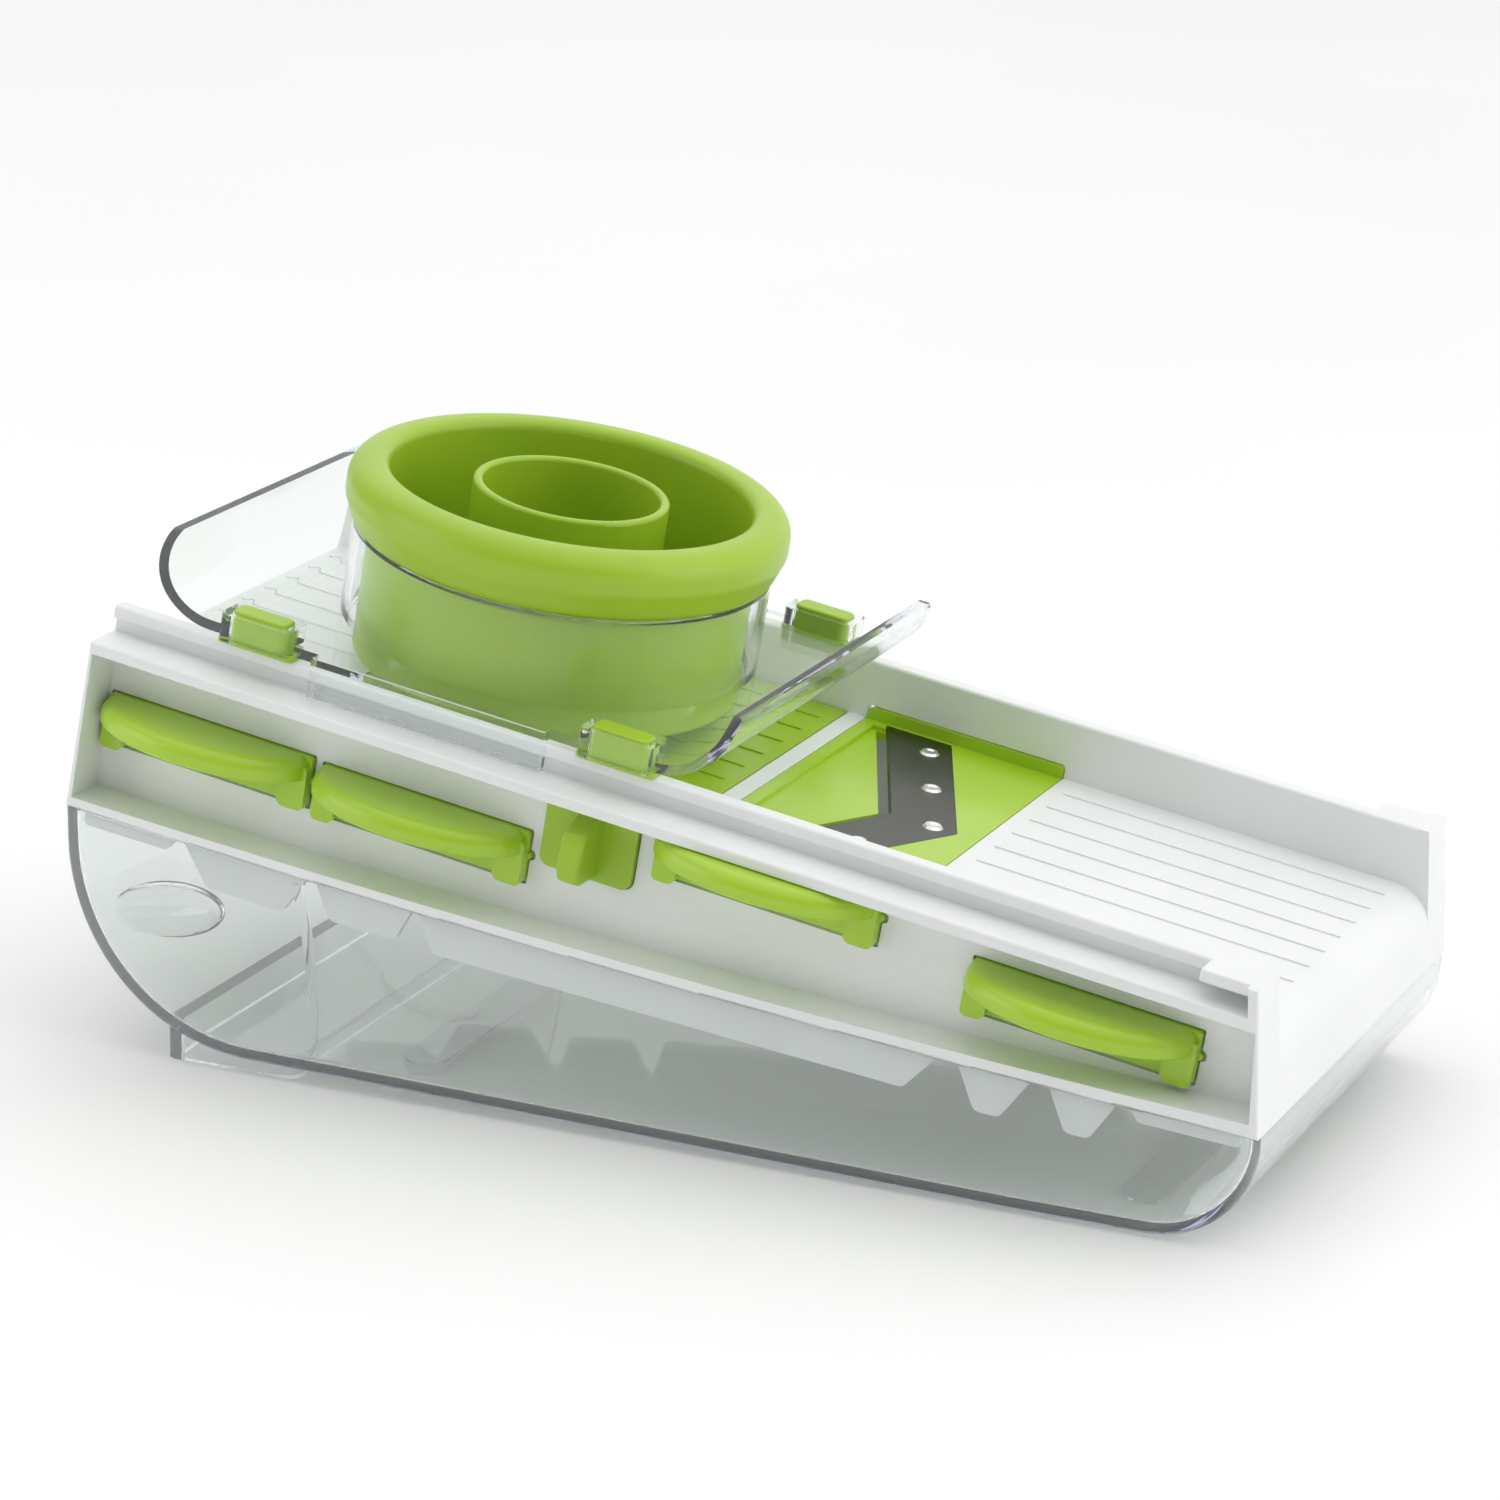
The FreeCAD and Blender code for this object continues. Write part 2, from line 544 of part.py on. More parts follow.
def v_slicer():
    middle, surface = INSERTS["v_slicer"]
    body = insert_blank(middle, surface)
    seat = chevron(V_EDGE - 0.1, V_BACK + 0.1, V_REACH + 0.1, (surface - BLADE_T - 0.02, surface + 4))
    slit = chevron(V_EDGE - V_SLIT, V_EDGE + 1.0, V_REACH - 2.5, (surface - 5, surface + 4))
    left = middle + PLATE_OFFSET - PLATE_L / 2 + 3.0
    shelf = prism(outline([(left, -46.5), (V_EDGE - V_LEAN * 46.5, -46.5), (V_EDGE, 0),
                           (V_EDGE - V_LEAN * 46.5, 46.5), (left, 46.5)], 0, "uv"),
                  (surface - 1.0, surface + 4), "uv")
    body = body.cut([seat, slit, shelf])
    studs = [(u, side * v) for u, v in BLADE_STUDS for side in ((1,) if v == 0 else (-1, 1))]
    body = drilled(body, studs, surface - 2.3, surface + 1)
    keep("v_slicer_insert", body)
    blade = chevron(V_EDGE, V_BACK, V_REACH, (surface - BLADE_T, surface))
    keep("v_blade", drilled(ground(blade, surface, V_EDGE), studs, surface - 2, surface + 1))
    keep("v_blade_studs", stud_group(studs, surface))


def straight_blade(surface, lead, width):
    """Blade across the insert at a slant, with its slit upstream of the edge."""
    lean = 0.22
    reach = 47.5
    def band(a, b, w, r):
        return prism(outline([(a - lean * r, -r), (b - lean * r, -r), (b + lean * r, r),
                              (a + lean * r, r)], 0, "uv"), w, "uv")
    seat = band(lead - 0.1, lead + width + 0.1, (surface - BLADE_T - 0.02, surface + 4), reach + 0.1)
    slit = band(lead - V_SLIT, lead + 1.0, (surface - 5, surface + 4), reach - 2.0)
    blade = band(lead, lead + width, (surface - BLADE_T, surface), reach)
    studs = [(lead + width * 0.6 + lean * v, v) for v in (-38.0, -19.0, 0.0, 19.0, 38.0)]
    return seat, slit, blade, studs


def julienne(name, pitch):
    """Slicing blade with a comb of upright cutters ahead of it."""
    middle, surface = INSERTS[name]
    centre = middle + PLATE_OFFSET
    seat, slit, blade, studs = straight_blade(surface, centre + 1.8, 11.0)
    bar_u = (centre - 16.0, centre - 11.5)
    comb_seat = box((bar_u[0] - 0.1, bar_u[1] + 0.1), (-44.1, 44.1), (surface - 1.22, surface + 4))
    body = insert_blank(middle, surface).cut([seat, slit, comb_seat])
    body = drilled(body, studs, surface - 2.3, surface + 1)
    keep(name + "_insert", body)
    keep(name + "_blade", drilled(blade, studs, surface - 2, surface + 1))
    keep(name + "_studs", stud_group(studs, surface))
    cutters = int(84 / pitch)
    teeth = [box((bar_u[0] + 0.1, bar_u[1] - 0.1), (v - 0.3, v + 0.3), (surface - 0.4, surface + 2.8))
             for v in ((i - (cutters - 1) / 2) * pitch for i in range(cutters))]
    keep(name + "_comb", join([box(bar_u, (-44, 44), (surface - 1.2, surface))] + teeth))


def grater():
    """Steel plate with raised round teeth, let into its insert."""
    middle, surface = INSERTS["grater"]
    centre = middle + PLATE_OFFSET
    half_u, half_v = 20.0, 44.0
    window = plate((centre - half_u + 3, centre + half_u - 3), (-half_v + 3, half_v - 3),
                   (surface - 5, surface + 4), 2.0)
    seat = plate((centre - half_u - 0.1, centre + half_u + 0.1), (-half_v - 0.1, half_v + 0.1),
                 (surface - 0.52, surface + 4), 2.0)
    studs = [(centre + su * (half_u - 1.5), sv * (half_v - 14)) for su in (-1, 1) for sv in (-1, 1)]
    body = drilled(insert_blank(middle, surface).cut([window, seat]), studs, surface - 2.3, surface + 1)
    keep("grater_insert", body)
    sheet = plate((centre - half_u, centre + half_u), (-half_v, half_v), (surface - 0.5, surface), 2.0)
    bumps, holes = [], []
    for row in range(10):
        for column in range(4):
            u = centre + (column - 1.5) * 7.6 + (1.9 if row % 2 else -1.9)
            v = (row - 4.5) * 8.2
            bumps.append(Part.makeCone(2.0, 1.1, 1.2, V(u, v, surface)))
            holes.append(rod(0.8, (u, v, surface - 1), 3, (0, 0, 1)))
    sheet = drilled(join([sheet] + bumps).cut(holes), studs, surface - 2, surface + 1)
    keep("grater_plate", sheet)
    keep("grater_studs", stud_group(studs, surface, 1.3))


# ---------------------------------------------------------------- guard and pusher
def guard_sheet():
    """Clear plate between the rails with both ends curved up, its tips rounded in the other way."""
    low, high = GUARD_PLATE
    arc_w = (low + high) / 2 + WING_R
    lift = math.acos((arc_w - WING_TIP) / WING_R)

    def arc_point(side, radius, share):
        centre = WING_U[0] if side < 0 else WING_U[1]
        angle = lift * share
        return V(centre + side * radius * math.sin(angle), 0, arc_w - radius * math.cos(angle))

    under, over = WING_R + (high - low) / 2, WING_R - (high - low) / 2
    edges = []
    for side, radius, shares in ((-1, under, (1, 0.5, 0)), (1, under, (0, 0.5, 1)),
                                 (1, over, (1, 0.5, 0)), (-1, over, (0, 0.5, 1))):
        edges.append(Part.Arc(*[arc_point(side, radius, t) for t in shares]).toShape())
    joined = [edges[0]]
    for edge in edges[1:] + [edges[0]]:
        joined.append(Part.LineSegment(joined[-1].lastVertex(True).Point,
                                       edge.firstVertex(True).Point).toShape())
        if edge is not edges[0]:
            joined.append(edge)
    sheet = drawn_between(Part.Face(Part.Wire(joined)), (-GUARD_HALF, GUARD_HALF))
    middle = sum(WING_U) / 2
    tips = []
    for corner, reach in zip(WING_CORNER, ((WING_U[0] - 30, middle), (middle, WING_U[1] + 30))):
        frame = outline([(-54.4, low - 12), (54.4, low - 12), (52.0, WING_TIP + 0.6),
                         (-52.0, WING_TIP + 0.6)], [0, 0, corner, corner], "vw")
        tips.append(prism(frame, reach, "vw"))
    return sheet.common(tips[0].fuse(tips[1]))


def foot_housing(u, v):
    """Open-topped clear box that holds a glide."""
    return plate((u - FOOT_L / 2, u + FOOT_L / 2), (v - FOOT_B / 2, v + FOOT_B / 2),
                 (GUARD_PLATE[0], FOOT_TOP), 2.2)


def guard_body():
    low, high = GUARD_PLATE
    tube = rod(TUBE_R[0], (CUP_U, 0, low), TUBE_TOP - low, (0, 0, 1))
    flange = plate(SKIRT_U, (SKIRT_V[0] - 1.5, SKIRT_V[1]), (low, high), 0.8)
    curtain = box(SKIRT_U, SKIRT_V, (HOOK_W[0], high - 0.6))
    hook = box((SKIRT_U[0] + 1, SKIRT_U[1] - 1), (HOOK_IN, SKIRT_V[1] - 0.6), HOOK_W)
    pieces = [tube]
    for piece in (flange, curtain, hook):
        pieces += mirrored(piece)
    for u in FOOT_U:
        pieces += mirrored(foot_housing(u, FOOT_V))
    body = guard_sheet()
    for piece in pieces:
        body = body.fuse(piece)
    cuts = [rod(TUBE_R[1], (CUP_U, 0, low - 10), TUBE_TOP - low + 20, (0, 0, 1)),
            Part.makeCone(TUBE_R[1], TUBE_R[1] + 2 * TUBE_LEAD_IN, 2 * TUBE_LEAD_IN,
                          V(CUP_U, 0, TUBE_TOP - TUBE_LEAD_IN))]
    for u in FOOT_U:
        pocket = plate((u - GLIDE_L / 2 - 0.2, u + GLIDE_L / 2 + 0.2),
                       (FOOT_V - GLIDE_B / 2 - 0.2, FOOT_V + GLIDE_B / 2 + 0.2), (low - 1, FOOT_TOP + 1), 2.0)
        cuts += mirrored(pocket)
    return body.cut(cuts).removeSplitter()


def glide(u, v):
    """Green sliding foot: a base strip on the rail and a block up through its housing."""
    strip = plate((u - FOOT_L / 2 - 0.6, u + FOOT_L / 2 + 0.6), (v - 3.4, v + 3.4),
                  (RAIL_TOP + 0.1, GUARD_PLATE[0]), 1.5)
    block = plate((u - GLIDE_L / 2, u + GLIDE_L / 2), (v - GLIDE_B / 2, v + GLIDE_B / 2),
                  (GUARD_PLATE[0] - 0.1, GLIDE_TOP), 1.8)
    top_edges = [e for e in block.Edges if e.CenterOfMass.z > GLIDE_TOP - 1e-4]
    return join([strip, block.makeFillet(0.6, top_edges)])


def pusher_cup():
    """Cup with a rolled rim and a central chute, turned about its own axis."""
    soft = 5.2
    profile = [(CHUTE_R[1], CUP_BOTTOM), (CUP_BODY_R, CUP_BOTTOM), (CUP_BODY_R, CUP_NECK),
               CUP_RIM_LOW, (CUP_RIM_R, CUP_RIM_TURN), (CUP_RIM_R, CUP_TOP),
               (CUP_OPEN_R, CUP_TOP), (CUP_BODY_R - CUP_WALL - 1.0, CUP_BOTTOM + CUP_WALL),
               (CHUTE_R[0], CUP_BOTTOM + CUP_WALL), (CHUTE_R[0], CHUTE_TOP), (CHUTE_R[1], CHUTE_TOP)]
    radii = [0, 1.0, 0.5, 3.2, 3.0, soft, 2.4, 2.0, 1.5, 0.9, 0.9]
    face = Part.Face(outline(profile, radii))
    body = face.revolve(V(0, 0, 0), V(0, 0, 1), 360)
    body.translate(V(CUP_U, 0, 0))
    sockets = [rod(PRONG_R, (u, v, CUP_BOTTOM - 1), 2.8, (0, 0, 1)) for u, v in prong_places()]
    return body.cut(sockets)


def prong_places():
    return [(CUP_U + PRONG_RING * math.cos(a), PRONG_RING * math.sin(a))
            for a in (2 * math.pi * i / PRONG_COUNT for i in range(PRONG_COUNT))]


def pusher_prongs():
    prongs = []
    for u, v in prong_places():
        shank = rod(PRONG_R, (u, v, 4.0), CUP_BOTTOM + 1.8 - 4.0, (0, 0, 1))
        point = Part.makeCone(0.15, PRONG_R, 1.6, V(u, v, 2.4))
        prongs.append(shank.fuse(point).removeSplitter())
    return Part.makeCompound(prongs)


# ---------------------------------------------------------------- clear container
def seat_z(x):
    """Height of the bowed rim, in the part's frame."""
    circle = seat_arc().Curve
    centre_x, centre_z = to_part(circle.Center.x, circle.Center.z)
    return centre_z - math.sqrt(circle.Radius ** 2 - (x - centre_x) ** 2)


def container_shell(inset, rise):
    """Boat-shaped block under the seat, smaller by the inset all round."""
    left, right = -LENGTH / 2 + inset, LENGTH / 2 - inset
    seat = [(x, seat_z(x) + rise) for x in (left, 0.0, right)]
    corners = [(left, FLOOR_HIGH + inset - 0.9), (FLOOR_FLAT_X, FLOOR_LOW + inset),
               (right, FLOOR_LOW + inset)]
    rounded = outline([seat[0]] + corners + [seat[2]],
                      [0, HIGH_CURVE - inset, 0, LOW_CURVE - inset, 0])
    straight = Part.LineSegment(V(seat[2][0], 0, seat[2][1]), V(seat[0][0], 0, seat[0][1])).toShape()
    sides = [e for e in rounded.Edges
             if (e.CenterOfMass - straight.CenterOfMass).Length > 1e-3]
    top = Part.Arc(*[V(x, 0, z) for x, z in (seat[2], seat[1], seat[0])]).toShape()
    face = Part.Face(Part.Wire(Part.__sortEdges__(sides + [top])))
    half = BODY_HALF - inset
    block = drawn_between(face, (-half, half))
    long_edges = [e for e in block.Edges if abs(abs(e.CenterOfMass.y) - half) < 1e-6
                  and e.BoundBox.ZMin < 20]
    return block.makeFillet(LONG_EDGE_R - inset / 2, long_edges)


def scoop(grow):
    """Ellipsoid that hollows a finger grip into the near wall."""
    ball = Part.makeSphere(10.0)
    matrix = FreeCAD.Matrix()
    matrix.scale(*[(radius + grow) / 10 for radius in SCOOP_R])
    ball = ball.transformGeometry(matrix)
    ball.rotate(V(0, 0, 0), V(0, 1, 0), SCOOP_TILT)
    ball.translate(V(SCOOP_X, -BODY_HALF - 1.5, SCOOP_Z))
    return ball


def wall_groove():
    """Shallow bowed groove that runs down the near wall from the rim, beside the finger grip."""
    y = -BODY_HALF - GROOVE_R + GROOVE_DEPTH
    path = Part.Arc(V(-79.4, y, 46.0), V(-76.5, y, 29.0), V(-76.5, y, 9.0)).toShape()
    end = rod(GROOVE_R, (-79.4, y, 46.0), 12.0, (-0.1, 0, 1))
    section = Part.Wire(Part.makeCircle(GROOVE_R, V(-79.4, y, 46.0), path.tangentAt(path.FirstParameter)))
    pipe = Part.Wire(path).makePipeShell([section], True, False)
    return [pipe, end, Part.makeSphere(GROOVE_R, V(-76.5, y, 9.0))]


def heel(inset, top):
    """Foot under the high end, as wide as the container less its rounded edges."""
    half = BODY_HALF - LONG_EDGE_R - inset
    corners = [(HEEL_X[0] + inset, -half), (HEEL_X[1] - inset, -half),
               (HEEL_X[1] - inset, half), (HEEL_X[0] + inset, half)]
    return prism(outline(corners, 2.5, "uv"), (0 if inset == 0 else -1, top), "uv")


def container():
    outside = container_shell(0, 0)
    inside = container_shell(WALL, 1.5)
    bosses = mirrored(scoop(SCOOP_SKIN).common(container_shell(0.5, 0)))
    foot = heel(0, 16.0).cut(heel(WALL, 40)).cut(container_shell(WALL * 0.5, 1.5))
    body = join([outside.cut(inside)] + bosses + [foot])
    cuts = mirrored(scoop(0))
    for piece in wall_groove():
        cuts += mirrored(piece)
    for x in PAD_X:
        cuts.append(plate((x - PAD_B / 2 - 0.05, x + PAD_B / 2 + 0.05),
                          (-PAD_L / 2 - 0.05, PAD_L / 2 + 0.05), (-5, FLOOR_LOW + pad_floor(x)), 4.9))
    return body.cut(cuts)


def pad_floor(x):
    """How far a pad is let into the sloping floor, above the floor's lowest level."""
    slope = max(0.0, (FLOOR_FLAT_X - x) / (FLOOR_FLAT_X + LENGTH / 2)) * (FLOOR_HIGH - FLOOR_LOW - 0.9)
    return slope + 0.8


def pad(x):
    return plate((x - PAD_B / 2, x + PAD_B / 2), (-PAD_L / 2, PAD_L / 2),
                 (0, FLOOR_LOW + pad_floor(x) - 0.02), 4.9)


# ---------------------------------------------------------------- build and write
keep("container", container(), tilted=False)
keep("high_pad", pad(PAD_X[0]), tilted=False)
keep("low_pad", pad(PAD_X[1]), tilted=False)
keep("frame_body", frame_body())
keep("ramp", ramp())
keep("ramp_pins", ramp_pins())
keep("thickness_slider", thickness_slider())
v_slicer()
julienne("fine_julienne", 4.2)
julienne("coarse_julienne", 8.4)
grater()
keep("guard_body", guard_body())
for end, foot_u in zip(("high", "low"), FOOT_U):
    for side, foot_v in (("near", -FOOT_V), ("far", FOOT_V)):
        keep("glide_%s_%s" % (end, side), glide(foot_u, foot_v))
keep("pusher_cup", pusher_cup())
keep("pusher_prongs", pusher_prongs())

os.makedirs("parts", exist_ok=True)
for node, shape in NODES.items():
    shape.exportStep("parts/%s.step" % node)
    bounds = shape.BoundBox
    print("%-24s valid %s solids %d volume %8.0f  x %7.1f %7.1f  y %6.1f %6.1f  z %6.1f %6.1f"
          % (node, shape.isValid(), len(shape.Solids), shape.Volume, bounds.XMin, bounds.XMax,
             bounds.YMin, bounds.YMax, bounds.ZMin, bounds.ZMax))
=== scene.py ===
import json
import math

import bmesh
import bpy
from mathutils import Matrix, Vector


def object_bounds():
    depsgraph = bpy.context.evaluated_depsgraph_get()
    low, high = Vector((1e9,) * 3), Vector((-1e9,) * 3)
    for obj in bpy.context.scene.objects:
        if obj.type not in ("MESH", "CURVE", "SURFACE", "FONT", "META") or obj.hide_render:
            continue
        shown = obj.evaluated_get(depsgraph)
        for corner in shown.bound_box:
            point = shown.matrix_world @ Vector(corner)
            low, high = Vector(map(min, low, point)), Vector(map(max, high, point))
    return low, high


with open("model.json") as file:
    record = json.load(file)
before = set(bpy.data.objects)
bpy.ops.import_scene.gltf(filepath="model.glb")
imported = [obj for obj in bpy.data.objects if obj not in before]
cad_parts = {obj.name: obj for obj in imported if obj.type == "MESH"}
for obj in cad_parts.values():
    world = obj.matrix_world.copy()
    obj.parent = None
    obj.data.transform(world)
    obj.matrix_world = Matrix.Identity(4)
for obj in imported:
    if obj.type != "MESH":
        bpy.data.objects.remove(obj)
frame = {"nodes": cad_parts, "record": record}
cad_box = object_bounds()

# Looks of the mandoline slicer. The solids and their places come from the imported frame. This
# script gives them their materials, rounds their moulded edges, and sets camera, floor and lights.
# Lengths are in metres unless a comment says millimetres; MM converts those.
MM = 0.001
NODES = frame["nodes"]


# ---------------------------------------------------------------- shader building
class Shader:
    """A material with one Principled shader and the procedural nodes that feed it."""

    def __init__(self, name, **values):
        self.material = bpy.data.materials.new(name)
        self.material.use_nodes = True
        self.tree = self.material.node_tree
        self.surface = self.tree.nodes["Principled BSDF"]
        self.output = self.tree.nodes["Material Output"]
        self.place = self.tree.nodes.new("ShaderNodeTexCoord").outputs["Object"]
        for key, value in values.items():
            self.surface.inputs[key.replace("_", " ")].default_value = value

    def node(self, kind, links):
        """New node, with each input linked to the socket or set to the value given for it."""
        made = self.tree.nodes.new("ShaderNode" + kind)
        for key, value in links.items():
            if isinstance(value, bpy.types.NodeSocket):
                self.tree.links.new(value, made.inputs[key])
            else:
                made.inputs[key].default_value = value
        return made

    def noise(self, scale, detail=3.0, stretch=None):
        """Noise factor at a scale per metre, stretched along an axis if asked."""
        place = self.place
        if stretch is not None:
            place = self.node("Mapping", {"Vector": place, "Scale": stretch}).outputs["Vector"]
        noise = self.node("TexNoise", {"Vector": place, "Scale": scale, "Detail": detail})
        return noise.outputs["Fac"]

    def blend(self, factor, low, high, span=(0.35, 0.65)):
        """Colour that goes from low to high as the factor crosses the span."""
        ramp = self.node("ValToRGB", {"Fac": factor})
        for element, place, colour in zip(ramp.color_ramp.elements, span, (low, high)):
            element.position = place
            element.color = (*colour, 1)
        return ramp.outputs["Color"]

    def level(self, factor, low, high):
        """Number that goes from low to high as the factor goes from 0 to 1."""
        mapped = self.node("MapRange", {"Value": factor, "To Min": low, "To Max": high})
        return mapped.outputs["Result"]

    def feed(self, key, socket):
        """Link a socket into one of the Principled shader's inputs."""
        self.tree.links.new(socket, self.surface.inputs[key])

    def bump(self, height, strength, distance):
        made = self.node("Bump", {"Height": height, "Strength": strength, "Distance": distance})
        self.feed("Normal", made.outputs["Normal"])


# ---------------------------------------------------------------- materials
# Scales of the noise patterns, per metre: the larger the number, the finer the pattern.
MOULD_DRIFT, MOULD_GLOSS, MOULD_GRAIN = 38.0, 210.0, 2600.0
CLEAR_GLOSS, CLEAR_WAVES = 90.0, 45.0
STEEL_GRAIN = 900.0
RUBBER_GLOSS, RUBBER_GRAIN = 500.0, 1800.0
PAPER_DRIFT = 3.0

GRIND_STRETCH = (1.0, 0.04, 1.0)              # draws the marks out across the runway
GRIND_SPAN = (0.25, 0.75)

# The clear plastic's faint green tint is painted reflection: it stands for greenish light bounced
# about inside the clear parts.
CLEAR_TINT_PAINTED_REFLECTION = (0.955, 0.985, 0.965, 1)         # of the clear plastic's surface
LAMP_TINT = (0.95, 0.96, 0.96, 1)             # of a lamp's light that passes the surface
DEPTH_TINT, DEPTH_DENSITY = (0.47, 0.40, 0.80, 1), 9.0      # tint inside it, and how fast it grows


def moulded_plastic(name, light, dark, roughness, coat):
    """Opaque plastic: slight colour drift, uneven gloss and the fine texture of its mould.

    Roughness is a pair, here and in ground_steel: the lowest and the highest it can be.
    """
    made = Shader(name, IOR=1.5, Coat_Weight=coat, Coat_Roughness=0.12, Subsurface_Weight=0.06,
                  Subsurface_Scale=0.6 * MM)
    made.feed("Base Color", made.blend(made.noise(MOULD_DRIFT), dark, light))
    made.feed("Roughness", made.level(made.noise(MOULD_GLOSS), *roughness))
    made.bump(made.noise(MOULD_GRAIN, detail=2.0), strength=0.05, distance=0.05 * MM)
    return made.material


def clear_plastic(name, haze, coat, ior):
    """Clear plastic, faintly hazy and violet where a ray runs far inside it. Lamps shine through."""
    made = Shader(name, Base_Color=CLEAR_TINT_PAINTED_REFLECTION, Transmission_Weight=1 - haze, IOR=ior,
                  Coat_Weight=coat, Coat_IOR=1.45, Coat_Roughness=0.03)
    made.feed("Roughness", made.level(made.noise(CLEAR_GLOSS), 0.0, 0.02))
    made.bump(made.noise(CLEAR_WAVES, detail=1.0), strength=0.012, distance=0.2 * MM)
    depth = made.node("VolumeAbsorption", {"Color": DEPTH_TINT, "Density": DEPTH_DENSITY})
    made.tree.links.new(depth.outputs["Volume"], made.output.inputs["Volume"])
    through = made.node("BsdfTransparent", {"Color": LAMP_TINT})
    ray = made.node("LightPath", {})
    mix = made.node("MixShader", {0: ray.outputs["Is Shadow Ray"],
                                  1: made.surface.outputs["BSDF"],
                                  2: through.outputs["BSDF"]})
    made.tree.links.new(mix.outputs["Shader"], made.output.inputs["Surface"])
    return made.material


def ground_steel(name, light, dark, roughness):
    """Steel with fine grinding marks that run across the runway."""
    made = Shader(name, Metallic=1.0, Anisotropic=0.4)
    grain = made.noise(STEEL_GRAIN, detail=4.0, stretch=GRIND_STRETCH)
    made.feed("Base Color", made.blend(grain, dark, light, GRIND_SPAN))
    made.feed("Roughness", made.level(grain, *roughness))
    made.bump(grain, strength=0.08, distance=0.03 * MM)
    return made.material


def pad_rubber():
    """Translucent rubber of the anti-slip pads."""
    made = Shader("pad_rubber", IOR=1.45, Transmission_Weight=0.75, Base_Color=(0.86, 0.9, 0.88, 1))
    made.feed("Roughness", made.level(made.noise(RUBBER_GLOSS), 0.3, 0.45))
    made.bump(made.noise(RUBBER_GRAIN, detail=2.0), strength=0.1, distance=0.05 * MM)
    return made.material


# One finish for each material slot, then the finish of each node that differs from its slot's.
FINISH = {
    "green_plastic": moulded_plastic("green_plastic", light=(0.37, 0.565, 0.024),
                                     dark=(0.34, 0.535, 0.021), roughness=(0.33, 0.44), coat=0.1),
    "white_plastic": moulded_plastic("white_plastic", light=(0.85, 0.865, 0.86),
                                     dark=(0.82, 0.84, 0.835), roughness=(0.35, 0.46), coat=0.08),
    "clear_plastic": clear_plastic("clear_plastic", haze=0.10, coat=0.4, ior=1.28),
    # The blade's steel is near black, far darker than the studs' steel: painted reflection, standing
    # for the dark surroundings that a polished blade mirrors. Its grinding marks are its own.
    "blade_steel": ground_steel("blade_steel", light=(0.13, 0.132, 0.115),
                                dark=(0.10, 0.102, 0.09), roughness=(0.26, 0.40)),
    "stud_steel": ground_steel("stud_steel", light=(0.86, 0.86, 0.85),
                               dark=(0.72, 0.72, 0.72), roughness=(0.14, 0.28)),
    "pad_rubber": pad_rubber(),
}
# The inserts get a lighter, glossier copy of the green plastic. Its lighter green is painted light:
# it stands for the light that falls on their upward faces.
GREEN_PAINTED_LIT = moulded_plastic("green_insert", light=(0.41, 0.64, 0.022),
                               dark=(0.38, 0.61, 0.02), roughness=(0.29, 0.40), coat=0.35)
OWN_FINISH = {name: GREEN_PAINTED_LIT for name in NODES if name.endswith("_insert")}
OWN_FINISH["guard_body"] = clear_plastic("clear_plastic_guard", haze=0.03, coat=0.1, ior=1.18)


def dress_nodes():
    """Every node of the frame gets its own finish, or else that of its material slot."""
    slots = {part["node"]: part["material_slot"] for part in frame["record"]["subparts"]}
    for name, node in NODES.items():
        node.data.materials.clear()
        node.data.materials.append(OWN_FINISH.get(name) or FINISH[slots[name]])


# ---------------------------------------------------------------- softened edges
# Width of the rounding on each moulded part's edges, in millimetres.
SOFTENED = {"frame_body": 0.45, "ramp": 0.25, "thickness_slider": 0.4, "v_slicer_insert": 0.35,
            "fine_julienne_insert": 0.35, "coarse_julienne_insert": 0.35, "grater_insert": 0.35,
            "guard_body": 0.5, "container": 0.45}
WELD_REACH = 0.002                            # points closer than this merge, in millimetres
FLAT_ANGLE = 0.4                              # faces that differ by less merge, in degrees
EDGE_ANGLE = 38                               # edges that turn by more are rounded, in degrees
EDGE_SEGMENTS = 2
NORMALS_WEIGHT = 60                           # how far large faces outweigh small ones


def soften_edges():
    """Moulded parts have no sharp corners: their edges are rounded by modifiers."""
    for name, width in SOFTENED.items():
        node = NODES[name]
        node.data.polygons.foreach_set("use_smooth", [True] * len(node.data.polygons))
        weld = node.modifiers.new("weld", "WELD")
        weld.merge_threshold = WELD_REACH * MM
        flat = node.modifiers.new("flat", "DECIMATE")
        flat.decimate_type = "DISSOLVE"
        flat.angle_limit = math.radians(FLAT_ANGLE)
        bevel = node.modifiers.new("edges", "BEVEL")
        bevel.width = width * MM
        bevel.segments = EDGE_SEGMENTS
        bevel.limit_method = "ANGLE"
        bevel.angle_limit = math.radians(EDGE_ANGLE)
        normals = node.modifiers.new("normals", "WEIGHTED_NORMAL")
        normals.weight = NORMALS_WEIGHT


# ---------------------------------------------------------------- camera, floor and lights
VIEW_AZIMUTH, VIEW_ELEVATION, VIEW_ROLL = 24.13, 17.24, 0.776       # in degrees
VIEW_DISTANCE = 1.1182
AIM = Vector((-2.2, 2.95, 3.6)) * MM          # aim point, from the middle of the object's box
LENS, SENSOR = 123.61, 36.0                   # in millimetres

# The surroundings brighten from the first level to the second as a direction turns towards
# BRIGHT_SIDE. The turns are dot products with it.
BRIGHT_SIDE = (0.25, 0.75, 0.6)
TURNS, LEVELS = (0.0, 0.55), (0.29, 1.0)

FLOOR_REACH = 6.0                             # from the middle to each side
FLOOR_GAP = 0.05                              # below the object's box, in millimetres
PAPER_DARK, PAPER_LIGHT = (0.94, 0.94, 0.94), (0.96, 0.96, 0.96)

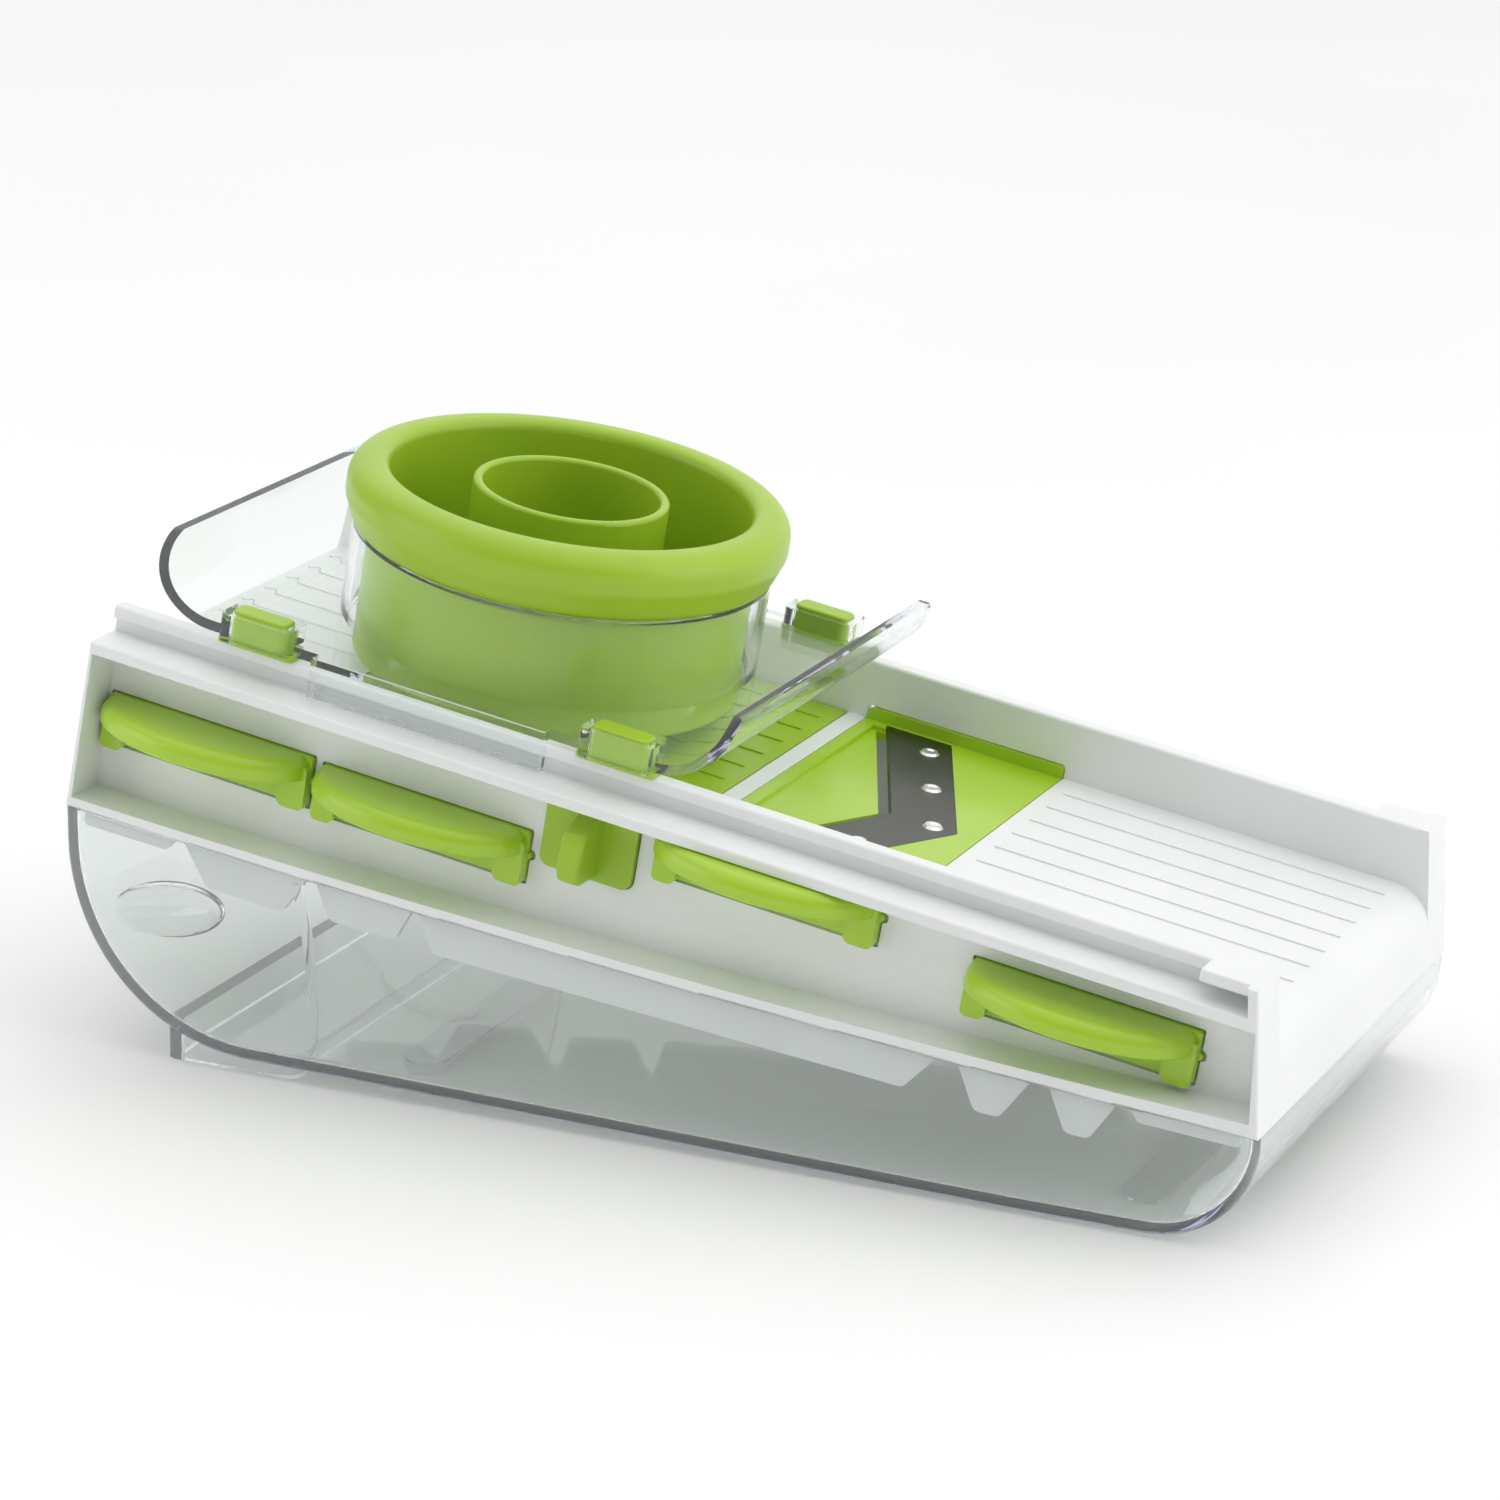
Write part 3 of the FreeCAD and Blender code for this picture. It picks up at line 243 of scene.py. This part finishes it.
# Each lamp's name, place, aim, size and power in watts.
CENTRE = (0, 0, 0.06)
LAMPS = (
    ("ceiling", (0, -0.5, 3.2), (0, -0.5, 0), (7.0, 7.0), 62.0),
    ("left", (-1.25, -0.85, 0.55), CENTRE, (1.0, 1.0), 5.0),
    ("right", (1.45, 0.1, 0.6), CENTRE, (1.0, 1.1), 4.0),
)


def camera():
    """The camera looks at the long near side, from above and from a little towards the low end."""
    low, high = cad_box
    aim = (low + high) / 2 + AIM
    turn, rise = math.radians(VIEW_AZIMUTH), math.radians(VIEW_ELEVATION)
    back = Vector((math.sin(turn) * math.cos(rise), -math.cos(turn) * math.cos(rise), math.sin(rise)))
    data = bpy.data.cameras.new("camera")
    data.lens, data.sensor_width = LENS, SENSOR
    made = bpy.data.objects.new("camera", data)
    place = Matrix.Translation(aim + back * VIEW_DISTANCE)
    facing = (-back).to_track_quat("-Z", "Y").to_matrix().to_4x4()
    roll = Matrix.Rotation(math.radians(VIEW_ROLL), 4, "Z")
    made.matrix_world = place @ facing @ roll
    bpy.context.scene.collection.objects.link(made)
    bpy.context.scene.camera = made


def softbox(name, place, aim, size, power):
    """Rectangular lamp at a place, turned towards its aim."""
    data = bpy.data.lights.new(name, "AREA")
    data.shape = "RECTANGLE"
    data.size, data.size_y = size
    data.energy = power
    made = bpy.data.objects.new(name, data)
    made.location = place
    made.rotation_mode = "QUATERNION"
    made.rotation_quaternion = (Vector(aim) - Vector(place)).to_track_quat("-Z", "Y")
    bpy.context.scene.collection.objects.link(made)


def surroundings():
    """World light: white behind the object and above it, dimmer on the near side."""
    world = bpy.data.worlds.new("surroundings")
    world.use_nodes = True
    tree = world.node_tree
    place = tree.nodes.new("ShaderNodeTexCoord")
    facing = tree.nodes.new("ShaderNodeVectorMath")
    facing.operation = "DOT_PRODUCT"
    facing.inputs[1].default_value = BRIGHT_SIDE
    ramp = tree.nodes.new("ShaderNodeValToRGB")
    for element, turn, level in zip(ramp.color_ramp.elements, TURNS, LEVELS):
        element.position = turn
        element.color = (level, level, level, 1)
    tree.links.new(place.outputs["Generated"], facing.inputs[0])
    tree.links.new(facing.outputs["Value"], ramp.inputs["Fac"])
    tree.links.new(ramp.outputs["Color"], tree.nodes["Background"].inputs["Color"])
    bpy.context.scene.world = world


def floor():
    """Pale paper floor."""
    mesh = bpy.data.meshes.new("floor")
    bm = bmesh.new()
    bmesh.ops.create_grid(bm, x_segments=1, y_segments=1, size=FLOOR_REACH)
    bm.to_mesh(mesh)
    bm.free()
    made = bpy.data.objects.new("floor", mesh)
    made.location = (0, 0, cad_box[0].z - FLOOR_GAP * MM)
    bpy.context.scene.collection.objects.link(made)
    paper = Shader("floor_paper", Roughness=0.9)
    paper.feed("Base Color", paper.blend(paper.noise(PAPER_DRIFT), PAPER_DARK, PAPER_LIGHT))
    mesh.materials.append(paper.material)


def studio():
    """Surroundings, floor, a wide ceiling panel and a softbox to the object's left and right."""
    bpy.context.scene.view_settings.view_transform = "Standard"
    surroundings()
    floor()
    for lamp in LAMPS:
        softbox(*lamp)


dress_nodes()
soften_edges()
camera()
studio()
